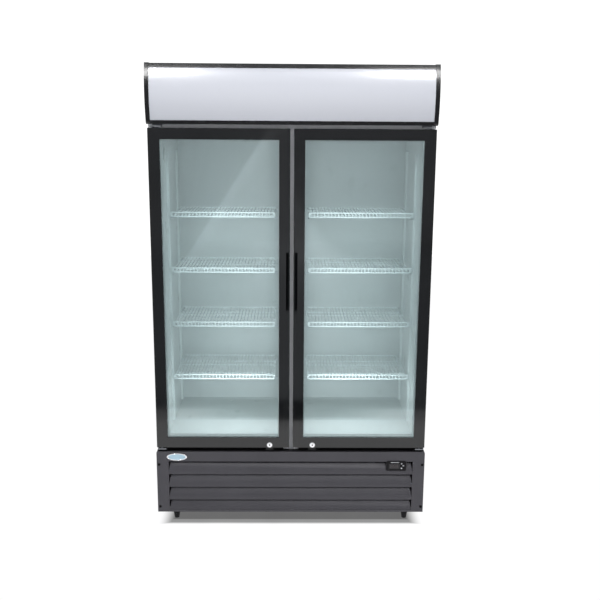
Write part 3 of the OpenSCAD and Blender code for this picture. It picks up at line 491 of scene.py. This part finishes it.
def lathe(mesh, profile, centre, axis, sides):
    """Profile [(radius, height), ...] turned about Y or Z; end radii of 0 close it."""
    rings = []
    for radius, height in profile:
        ring = []
        for k in range(1 if radius < 1e-9 else sides):
            angle = 2 * math.pi * k / sides
            x, y = radius * math.cos(angle), radius * math.sin(angle)
            point = (x, y, height) if axis == "Z" else (x, height, -y)
            ring.append(mesh.verts.new(Vector(centre) + Vector(point)))
        rings.append(ring)
    for a, b in zip(rings, rings[1:]):
        for k in range(sides):
            quad = (a[k % len(a)], a[(k + 1) % len(a)], b[(k + 1) % len(b)], b[k % len(b)])
            corners = list(dict.fromkeys(quad))
            if len(corners) > 2:
                mesh.faces.new(corners)


# ---------------------------------------------------------------- wire shelves
SHELF_INSET = 0.003          # rod centres from the front, back and top of the CAD box
RIM_INSET = 0.0031           # rim centre from the sides
RIM_RADIUS = 0.0029
LIP_HEIGHT = 0.019           # lip rail above the rim
CROSS_RODS = (0.100, 0.237, 0.300)   # distances behind the front of the rim
CROSS_DROP = 0.0046
CROSS_RADIUS = 0.0024
DECK_WIRES = 30
DECK_MARGIN = 0.009          # outermost deck wires from the sides
DECK_RADIUS = 0.0020


def shelf(node):
    (x0, y0, _), (x1, y1, z1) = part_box(node)
    lip_z = z1 - SHELF_INSET
    z = lip_z - LIP_HEIGHT
    front, back = y0 + SHELF_INSET, y1 - SHELF_INSET
    left, right = x0 + RIM_INSET, x1 - RIM_INSET
    mesh = bmesh.new()
    # rim: one bent rod all round
    rim = [(left, front, z), (right, front, z), (right, back, z), (left, back, z)]
    sweep(mesh, rounded(rim, radius=0.012, steps=6, closed=True), RIM_RADIUS, sides=12,
          closed=True)
    # lip rail, its ends turned down onto the rim
    lip = [(left, front + 0.010, z), (left, front + 0.001, z + 0.004), (left, front, lip_z),
           (right, front, lip_z), (right, front + 0.001, z + 0.004), (right, front + 0.010, z)]
    sweep(mesh, rounded(lip, radius=0.006, steps=5), RIM_RADIUS, sides=12)
    # cross rods under the deck
    for distance in CROSS_RODS:
        y = front + distance
        sweep(mesh, [(left, y, z - CROSS_DROP), (right, y, z - CROSS_DROP)], CROSS_RADIUS,
              sides=10, dome=0.6)
    # deck wires, each turned up at the front to make a picket of the lip
    for k in range(DECK_WIRES):
        x = x0 + DECK_MARGIN + k * (x1 - x0 - 2 * DECK_MARGIN) / (DECK_WIRES - 1)
        wire = [(x, back + 0.0005, z), (x, front + 0.0005, z), (x, front + 0.0003, lip_z)]
        sweep(mesh, rounded(wire, radius=0.003, steps=4), DECK_RADIUS, sides=8)
    finish_piece(node + "_wires", mesh, node, "wire_white", crease=50, replaces=True)


for side in ("left", "right"):
    for i in range(1, 5):
        shelf("shelf_%s_%d" % (side, i))

# ---------------------------------------------------------------- fan rotors
BLADES = 5
BLADE_STEPS, CHORD_STEPS = 10, 9     # faces along a blade and across it
ROOT_TWIST, TIP_TWIST = 38, 20       # degrees
ROOT_SUNK = 0.0015                   # blade root inside the hub
BORE = 0.00305
HALF_THICKNESS = 0.0009              # at the middle of the chord


def blade_side(mesh, start, sign, radius, hub, depth):
    """Grid of vertices on one side of a twisted, cupped blade; sign picks the side."""
    grid = []
    for i in range(BLADE_STEPS + 1):
        t = i / BLADE_STEPS
        along = hub - ROOT_SUNK + (radius - hub + ROOT_SUNK) * t
        twist = math.radians(ROOT_TWIST + (TIP_TWIST - ROOT_TWIST) * t)
        # widest past mid-blade, cut narrower at the very tip
        chord = ((0.62 + 0.55 * math.sin(math.pi * min(1, t * 0.75 + 0.1))) * hub
                 * (1.35 if t < 0.95 else 1.2))
        # flattened where the twist would take it out of the rotor's depth
        flatten = min(1.0, (depth * 0.5) / (0.5 * chord * math.sin(twist) + 1e-9))
        row = []
        for j in range(CHORD_STEPS + 1):
            s = j / CHORD_STEPS - 0.5
            # tip corners are drawn in
            r = along - 0.10 * (radius - hub) * max(0, (t - 0.8) / 0.2) ** 2 * (2 * abs(s)) ** 3
            camber = 0.08 * chord * (1 - (2 * s) ** 2)
            across = s * chord
            z = (across * math.sin(twist) + camber * math.cos(twist)) * flatten * 0.92
            z += sign * HALF_THICKNESS * (1 - (2 * s) ** 4 * 0.7)
            # the blade leans by 0.12 rad from root to tip
            angle = start + across * math.cos(twist) / along + 0.12 * t
            row.append(mesh.verts.new((r * math.cos(angle), r * math.sin(angle), z)))
        grid.append(row)
    return grid


def blade(mesh, start, radius, hub, depth):
    top = blade_side(mesh, start, 1, radius, hub, depth)
    low = blade_side(mesh, start, -1, radius, hub, depth)
    n, m = BLADE_STEPS, CHORD_STEPS
    face = mesh.faces.new
    for i in range(n):
        for j in range(m):
            face((top[i][j], top[i + 1][j], top[i + 1][j + 1], top[i][j + 1]))
            face((low[i][j], low[i][j + 1], low[i + 1][j + 1], low[i + 1][j]))
    for i in range(n):
        face((top[i][0], low[i][0], low[i + 1][0], top[i + 1][0]))
        face((top[i][m], top[i + 1][m], low[i + 1][m], low[i][m]))
    for j in range(m):
        face((top[0][j], top[0][j + 1], low[0][j + 1], low[0][j]))
        face((top[n][j], low[n][j], low[n][j + 1], top[n][j + 1]))


def rotor(node, axis, radius, hub, depth):
    low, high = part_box(node)
    half = depth / 2
    mesh = bmesh.new()
    # (radius, height): closed nose below, cup open above, and a bored boss in the middle
    lathe(mesh, [
        (BORE, -half), (hub * 0.82, -half), (hub * 0.96, -half + 0.0015), (hub, -half + 0.004),
        (hub, half - 0.001), (hub - 0.002, half), (hub - 0.004, half),
        (hub - 0.004, -half + 0.005), (0.007, -half + 0.005), (0.007, half - 0.002),
        (BORE, half - 0.002), (BORE, -half)], (0, 0, 0), "Z", sides=40)
    for k in range(BLADES):
        blade(mesh, 2 * math.pi * k / BLADES, radius, hub, depth)
    if axis == "Y":
        bmesh.ops.rotate(mesh, verts=mesh.verts, cent=(0, 0, 0),
                         matrix=Matrix.Rotation(-math.pi / 2, 3, "X"))
    bmesh.ops.translate(mesh, verts=mesh.verts, vec=(low + high) / 2)
    finish_piece(node + "_rotor", mesh, node, "fan_black", crease=40, replaces=True)


rotor("condenser_fan", "Y", radius=0.094, hub=0.024, depth=0.018)
for side in ("left", "right"):
    rotor("evaporator_fan_" + side, "Z", radius=0.073, hub=0.020, depth=0.016)

# ---------------------------------------------------------------- power cord
CORD_RADIUS = 0.0034
RUN_X, PLUG_X = 0.440, 0.300         # upward run and hanging plug
START_Y, START_Z = 0.170, 0.130      # inside the base
LOOP_TOP = 0.60
CORD_END = 0.334
PIN_OFFSET = 0.0062                  # each pin from the plug's middle


def power_cord():
    """Cord out of the rear grille, up, across and down to a hanging plug."""
    grille_low, grille_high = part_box("rear_grille")
    back = grille_high.y
    run_y = back + 0.008
    exit_z = grille_low.z + 0.057
    mesh = bmesh.new()
    path = [(0.3626, START_Y, START_Z), (RUN_X, START_Y, START_Z), (RUN_X, START_Y, exit_z),
            (RUN_X, run_y, exit_z), (RUN_X, run_y, LOOP_TOP), (PLUG_X, run_y, LOOP_TOP),
            (PLUG_X, run_y, CORD_END)]
    sweep(mesh, rounded(path, radius=0.010, steps=7), CORD_RADIUS, sides=12)
    # domed collar on the grille, (radius, distance behind it)
    lathe(mesh, [(0, 0.0052), (0.0050, 0.0052), (0.0078, 0.0046), (0.0106, 0.0030),
                 (0.011, 0.0012), (0.011, 0.0002), (0, 0.0002)],
          (RUN_X, back, exit_z), "Y", sides=32)

    def block(half_width, near, far, z_span, bevel, segments):
        slab(mesh, (PLUG_X - half_width, PLUG_X + half_width), (back + near, back + far),
             z_span, bevel, segments)

    # plug: body, neck and grip ribs
    block(0.0135, 0.0010, 0.0124, (0.277, 0.318), bevel=0.0035, segments=3)
    block(0.0085, 0.0022, 0.0118, (0.312, 0.3335), bevel=0.0035, segments=3)
    for k in range(4):
        z_span = (0.285 + k * 0.007, 0.2885 + k * 0.007)
        block(0.0140, 0.0040, 0.0094, z_span, bevel=0.0008, segments=2)
    finish_piece("power_cord_run", mesh, "power_cord", "cord_rubber", crease=40, replaces=True)

    # two flat pins under the plug
    mesh = bmesh.new()
    for x in (PLUG_X - PIN_OFFSET, PLUG_X + PIN_OFFSET):
        slab(mesh, (x - 0.0008, x + 0.0008), (back + 0.0032, back + 0.0095),
             (0.2602, 0.2775), bevel=0.0005, segments=2)
    finish_piece("plug_pins", mesh, "power_cord", "clip_zinc")


power_cord()

# ---------------------------------------------------------------- badge
BADGE_SIDES = 72
FACE_SCALE = 0.950                   # blank face's half width over the rim's
DOME_RINGS = 9
# (scale of the half width, y from the badge's back), from the back to the inner lip
RIM_PROFILE = [(1.0, 0.0), (1.0, -0.0009), (0.995, -0.0013), (0.985, -0.0015),
               (0.967, -0.0015), (0.955, -0.00125), (FACE_SCALE, -0.0009)]


def badge():
    """Domed oval face in a raised rim of even width."""
    low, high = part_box("badge")
    centre = (low + high) / 2
    half_x, half_z = (high.x - low.x) / 2, (high.z - low.z) / 2
    back = high.y

    def oval(size_x, size_z, y):
        return ellipse(mesh, centre, size_x, size_z, y, BADGE_SIDES)

    mesh = bmesh.new()
    rings = [oval(half_x - (1 - scale) * half_x, half_z - (1 - scale) * half_x, back + y)
             for scale, y in RIM_PROFILE]
    mesh.faces.new(rings[0])
    for ring_a, ring_b in zip(rings, rings[1:]):
        bridge(mesh, ring_a, ring_b)
    mesh.faces.new(rings[-1])
    finish_piece("badge_rim", mesh, "badge", "badge_metal", material="lock_chrome", crease=50,
                 replaces=True)

    mesh = bmesh.new()
    face_x, face_z = half_x * FACE_SCALE, half_z - 0.050 * half_x
    rings = []
    for i in range(DOME_RINGS):
        scale = 1 - i / DOME_RINGS
        y = back - 0.0008 - 0.0007 * (1 - scale * scale)
        rings.append(oval(face_x * scale, face_z * scale, y))
    middle = mesh.verts.new((centre.x, back - 0.0015, centre.z))
    for ring_a, ring_b in zip(rings, rings[1:]):
        bridge(mesh, ring_a, ring_b)
    inner = rings[-1]
    for k in range(BADGE_SIDES):
        mesh.faces.new((inner[k], inner[(k + 1) % BADGE_SIDES], middle))
    rear = oval(face_x, face_z, back - 0.0002)
    skirt(mesh, rings[0], rear)
    mesh.faces.new(rear)
    finish_piece("badge_face", mesh, "badge", "badge_metal", crease=50)


badge()

# ---------------------------------------------------------------- controller
painted("bezel_grey", (0.008, 0.0075, 0.009), rough=0.45, peel=0.2, peel_scale=620, var=0.1,
        dust=0.05, spec=0.14)
# light grey for a painted highlight on the controller's bezel
painted("bezel_highlight_paint", (0.38, 0.39, 0.41), rough=0.3, coat=0.3, peel=0.02, peel_scale=400,
        var=0.04)
# near black that paints the shade inside the lock keyholes
painted("keyhole_shade_paint", (0.004, 0.004, 0.004), rough=0.6, peel=0.05, peel_scale=400, var=0.1,
        spec=0.2)
NODES["controller_body"].data.materials.clear()
NODES["controller_body"].data.materials.append(MATERIALS["bezel_grey"])
painted("segment_dim", (0.045, 0.032, 0.033), rough=0.35, coat=0.3, peel=0.01, peel_scale=200,
        var=0.05)
painted("mark_white", (0.80, 0.82, 0.84), rough=0.45, peel=0.05, peel_scale=500, var=0.03)

DIGIT_SLANT = 0.0024                 # lean of a digit over its height
# (x over the digit's width, z over its height, lies flat)
SEGMENTS = ((0, 0.5, True), (0, 0, True), (0, -0.5, True), (-0.5, 0.25, False),
            (0.5, 0.25, False), (-0.5, -0.25, False), (0.5, -0.25, False))
TRIANGLE = ((-0.0023, -0.0013), (0.0023, -0.0013), (0.0, 0.0021))    # (x, z), pointing up
RING_OUTER, RING_INNER, RING_SIDES = 0.0021, 0.0014, 28


def display():
    """Three unlit seven-segment digits, and a light strip above them, a painted highlight on the
    bezel's top border.
    """
    low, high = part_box("controller_display")
    height = (high.z - low.z) * 0.60
    width = height * 0.52
    stroke = height * 0.10
    mid_z = (low.z + high.z) / 2
    mesh = bmesh.new()
    for digit in range(3):
        mid_x = low.x + (high.x - low.x) * (0.24 + 0.25 * digit)
        for u, v, flat in SEGMENTS:
            x, z = mid_x + u * width + v * DIGIT_SLANT, mid_z + v * height
            half_x = width / 2 - stroke * 0.7 if flat else stroke / 2
            half_z = stroke / 2 if flat else height / 4 - stroke * 0.7
            slab(mesh, (x - half_x, x + half_x), (low.y - 0.00018, low.y + 0.0002),
                 (z - half_z, z + half_z), bevel=0.0001, segments=1)
    finish_piece("display_segments", mesh, "controller_display", "display_glass",
                 material="segment_dim")

    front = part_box("controller_body")[0].y
    # light grey strip on the bezel's top border: a painted highlight of its upper edge
    mesh = bmesh.new()
    slab(mesh, (low.x + 0.008, high.x - 0.003), (front - 0.00025, front + 0.0004),
         (high.z + 0.0048, high.z + 0.0084), bevel=0.0002, segments=2)
    finish_piece("bezel_highlight_strip", mesh, "controller_body", "black_plastic",
                 material="bezel_highlight_paint", crease=30)


def button_mark(node, direction):
    """Triangle pointing up (1) or down (-1), or a ring (0)."""
    low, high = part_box(node)
    centre = (low + high) / 2
    front, back = low.y - 0.00025, low.y + 0.0002
    mesh = bmesh.new()
    if direction:
        front_face, back_face = (
            [mesh.verts.new((centre.x + x, y, centre.z + direction * z)) for x, z in TRIANGLE]
            for y in (front, back))
        mesh.faces.new(front_face)
        mesh.faces.new(list(reversed(back_face)))
        skirt(mesh, front_face, back_face)
    else:
        rings = [ellipse(mesh, centre, radius, radius, y, RING_SIDES) for radius, y in
                 ((RING_OUTER, front), (RING_INNER, front), (RING_INNER, back),
                  (RING_OUTER, back))]
        for ring_a, ring_b in zip(rings, rings[1:] + rings[:1]):
            bridge(mesh, ring_a, ring_b)
    finish_piece(node + "_mark", mesh, node, "button_grey", material="mark_white", crease=30)


display()
button_mark("button_up", 1)
button_mark("button_down", -1)
button_mark("button_set", 0)


# ---------------------------------------------------------------- lock keyways
def keyway(side):
    """Near-black slot and disc a little behind the plug's face: painted shade inside the keyhole.
    """
    node = "lock_plug_" + side
    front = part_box(node)[0].y
    low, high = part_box("lock_barrel_" + side)
    x, z = (low.x + high.x) / 2, (low.z + high.z) / 2
    mesh = bmesh.new()
    slab(mesh, (x - 0.00118, x + 0.00118), (front + 0.0009, front + 0.0080),
         (z - 0.0039, z + 0.0039), bevel=0.0002, segments=1)
    lathe(mesh, [(0, 0.00115), (0.0027, 0.00115), (0.0027, 0.0016), (0, 0.0016)],
          (x, front, z - 0.0006), "Y", sides=32)
    finish_piece("keyway_" + side, mesh, node, "lock_chrome", material="keyhole_shade_paint",
                 crease=30)


for side in ("left", "right"):
    keyway(side)


# ---------------------------------------------------------------- floor and curtain
def stage_sheet(name, corners):
    data = bpy.data.meshes.new(name)
    data.from_pydata(corners, [], [(0, 1, 2, 3)])
    return add_object(name, data)


def floor_paint(name):
    """Pale floor with a painted shadow under the cabinet and in a thin fringe before it; far from
    it the floor lifts to plain white;
    in mirror-like reflections it is bright near the cabinet's middle line, with a dark strip and a
    white part before it."""
    s = material_shader(name)
    axes = s.axes()
    x, y = axes["X"], axes["Y"]
    color = s.mix(s.ramp(s.noise(1.2)), (0.865, 0.865, 0.87), (0.88, 0.88, 0.88))
    base = s.principled({"Base Color": color, "Roughness": 0.9, "Specular IOR Level": 0.1})
    # seen directly: white, with painted shadow only under the cabinet and in a thin fringe before
    # it
    under = s.add(0.150, s.ramp(y, over=(-0.357, -0.349), to=(0.155, 0)))
    under = s.add(under, s.ramp(y, over=(-0.405, -0.377), to=(0.77, 0), smooth=True))
    under = s.times(under, s.ramp(s.noise(4.0), to=(0.95, 1.05)))
    beside = s.ramp(s.math("ABSOLUTE", x), over=(0.500, 0.598), to=(0, 1.02), smooth=True)
    behind = s.ramp(y, over=(0.330, 0.420), to=(0, 1.02), smooth=True)
    white = s.mix(s.ramp(s.noise(2.0, detail=3)), (0.99, 0.99, 1.0), (1, 1, 1))
    level = s.math("MINIMUM", s.highest(under, s.highest(beside, behind)), 1.02)
    seen = s.emission(white, level)
    # seen in reflections
    far = s.ramp(s.math("ABSOLUTE", x), over=(0.25, 0.9), to=(0.47, 0.27), smooth=True)
    near = s.highest(far, s.ramp(y, over=(-1.80, -1.78), to=(0, 1.18)))
    strip = s.times(s.ramp(y, over=(-1.985, -1.965)), s.ramp(y, over=(-1.61, -1.59), to=(1, 0)))
    strip = s.times(strip, s.ramp(s.math("ABSOLUTE", x), over=(0.30, 0.75), to=(1, 0.30),
                                  smooth=True))
    level = s.times(near, s.ramp(strip, over=(0, 1), to=(1, 0.02)))
    reflected = s.emission(s.mix(near, (0.86, 0.93, 1.0), (1, 1, 1)), level)
    rays = s.node("LightPath").outputs
    direct = s.mix_shader(rays["Is Camera Ray"], base, seen)
    s.finish(s.mix_shader(rays["Is Glossy Ray"], direct, reflected))


def curtain_paint(name):
    """Two glowing patches with slanted edges, left and right of the middle."""
    s = material_shader(name)
    axes = s.axes()
    x, z = axes["X"], axes["Z"]

    def side_of(x_factor, z_factor, offset):
        """Distance from a slanted line."""
        return s.add(s.add(s.times(x, x_factor), s.times(z, z_factor)), offset)

    line = side_of(0.838, -0.545, 1.097)
    left = s.times(s.ramp(line, over=(-0.012, 0.014)),
                   s.ramp(line, over=(0.02, 0.16), to=(1, 0.50), smooth=True))
    left = s.times(left, s.ramp(x, over=(-0.04, 0.02), to=(1, 0)))
    bend = s.highest(side_of(-0.863, -0.505, 0.637),
                     s.highest(side_of(-0.551, -0.835, 0.716), side_of(-0.241, -0.970, 0.558)))
    right = s.times(s.ramp(bend, over=(-0.02, 0.16), smooth=True),
                    s.ramp(x, over=(-0.02, 0.04)))
    rise = s.ramp(z, over=(0.02, 0.60), smooth=True)
    patches = s.times(s.highest(left, s.times(right, 1.1)), rise)
    level = s.times(patches, s.ramp(s.noise(1.5, detail=3), to=(0.36, 0.42)))
    light = s.emission((0.95, 0.98, 1.0), level)
    clear = s.node("BsdfTransparent").outputs[0]
    s.finish(s.node("AddShader", {0: light, 1: clear}).outputs[0])


floor = stage_sheet("stage_floor", [(-9, -9, 0), (9, -9, 0), (9, 7, 0), (-9, 7, 0)])
floor_paint("stage_floor_paint")
floor.data.materials.append(MATERIALS["stage_floor_paint"])

# a pale curtain behind the camera that only the glass and the gloss parts mirror
curtain = stage_sheet("stage_curtain", [(-3, -5, 0.01), (3, -5, 0.01), (3, -5, 2.6),
                                        (-3, -5, 2.6)])
curtain_paint("stage_curtain_paint")
curtain.data.materials.append(MATERIALS["stage_curtain_paint"])
curtain.visible_camera = False
curtain.visible_diffuse = False
curtain.visible_transmission = False
curtain.visible_shadow = False


# ---------------------------------------------------------------- world
def stage_world():
    """Dim ambient light; brighter upwards in reflections; white to the camera."""
    world = bpy.data.worlds.new("stage_world")
    scene.world = world
    s = Shader(world, "OutputWorld", "Generated")
    rays = s.node("LightPath").outputs

    def background(color, strength):
        return s.node("Background", {0: color, 1: strength}).outputs[0]

    ambient = background((0.97, 0.985, 1.0), strength=0.15)
    rise = s.ramp(s.axes()["Z"], over=(0.30, 0.75), to=(0.34, 1.1), smooth=True)
    glossy = background((0.93, 0.96, 1.0), strength=rise)
    surface = s.mix_shader(rays["Is Glossy Ray"], ambient, glossy)
    white = background((1, 1, 1), strength=1.15)
    s.finish(s.mix_shader(rays["Is Camera Ray"], surface, white))


stage_world()

# ---------------------------------------------------------------- lights
KEY_POWER = 70               # watts
BAY_POWER = 1.94
KEY = dict(target=(0, -0.3, 1.6), size=(1.25, 0.72), power=KEY_POWER, glossy=True)


def area(name, place, target, size, power, glossy=False):
    light = bpy.data.lights.new(name, "AREA")
    light.shape = "RECTANGLE"
    light.size, light.size_y = size
    light.energy = power
    obj = add_object(name, light)
    obj.location = place
    aim = Vector(target) - Vector(place)
    obj.rotation_euler = aim.to_track_quat("-Z", "Y").to_euler()
    obj.visible_camera = False
    obj.visible_glossy = glossy


area("key_left", (-1.50, -4.25, 3.83), **KEY)
area("key_right", (1.38, -4.25, 3.83), **KEY)
area("top_soft", (0, -0.25, 4.6), target=(0, -0.25, 0), size=(4.0, 0.5), power=80)
area("front_fill", (0, -5.2, 1.6), target=(0, 0, 1.1), size=(1.6, 1.6), power=42)
# light enters the two bays through the door openings, with a little more towards their floors
for side, sign in (("left", -1), ("right", 1)):
    area("bay_" + side, (sign * 0.25, -0.276, 1.10), target=(sign * 0.29, 0.25, 1.10),
         size=(0.30, 1.22), power=BAY_POWER)
    area("bay_floor_" + side, (sign * 0.29, -0.268, 0.60), target=(sign * 0.29, 0.02, 0.36),
         size=(0.40, 0.08), power=BAY_POWER * 0.31)

# ---------------------------------------------------------------- camera
CAMERA_PLACE = (-0.0077, -3.862, 1.7837)
YAW, PITCH, ROLL = 0.01244, 0.21482, -0.00672    # radians: to the right, downwards, about the view
FOCAL_LENGTH, SENSOR_WIDTH = 50.3592, 36         # millimetres


def add_camera():
    forward = Vector((math.sin(YAW) * math.cos(PITCH), math.cos(YAW) * math.cos(PITCH),
                      -math.sin(PITCH)))
    level = Vector((math.cos(YAW), -math.sin(YAW), 0))
    plumb = forward.cross(level)
    right = math.cos(ROLL) * level + math.sin(ROLL) * plumb
    down = -math.sin(ROLL) * level + math.cos(ROLL) * plumb
    data = bpy.data.cameras.new("camera")
    data.sensor_width = SENSOR_WIDTH
    data.lens = FOCAL_LENGTH
    camera = add_object("camera", data)
    turn = Matrix((right, -down, -forward)).transposed().to_4x4()
    camera.matrix_world = Matrix.Translation(CAMERA_PLACE) @ turn
    scene.camera = camera


add_camera()
scene.view_settings.view_transform = "Standard"
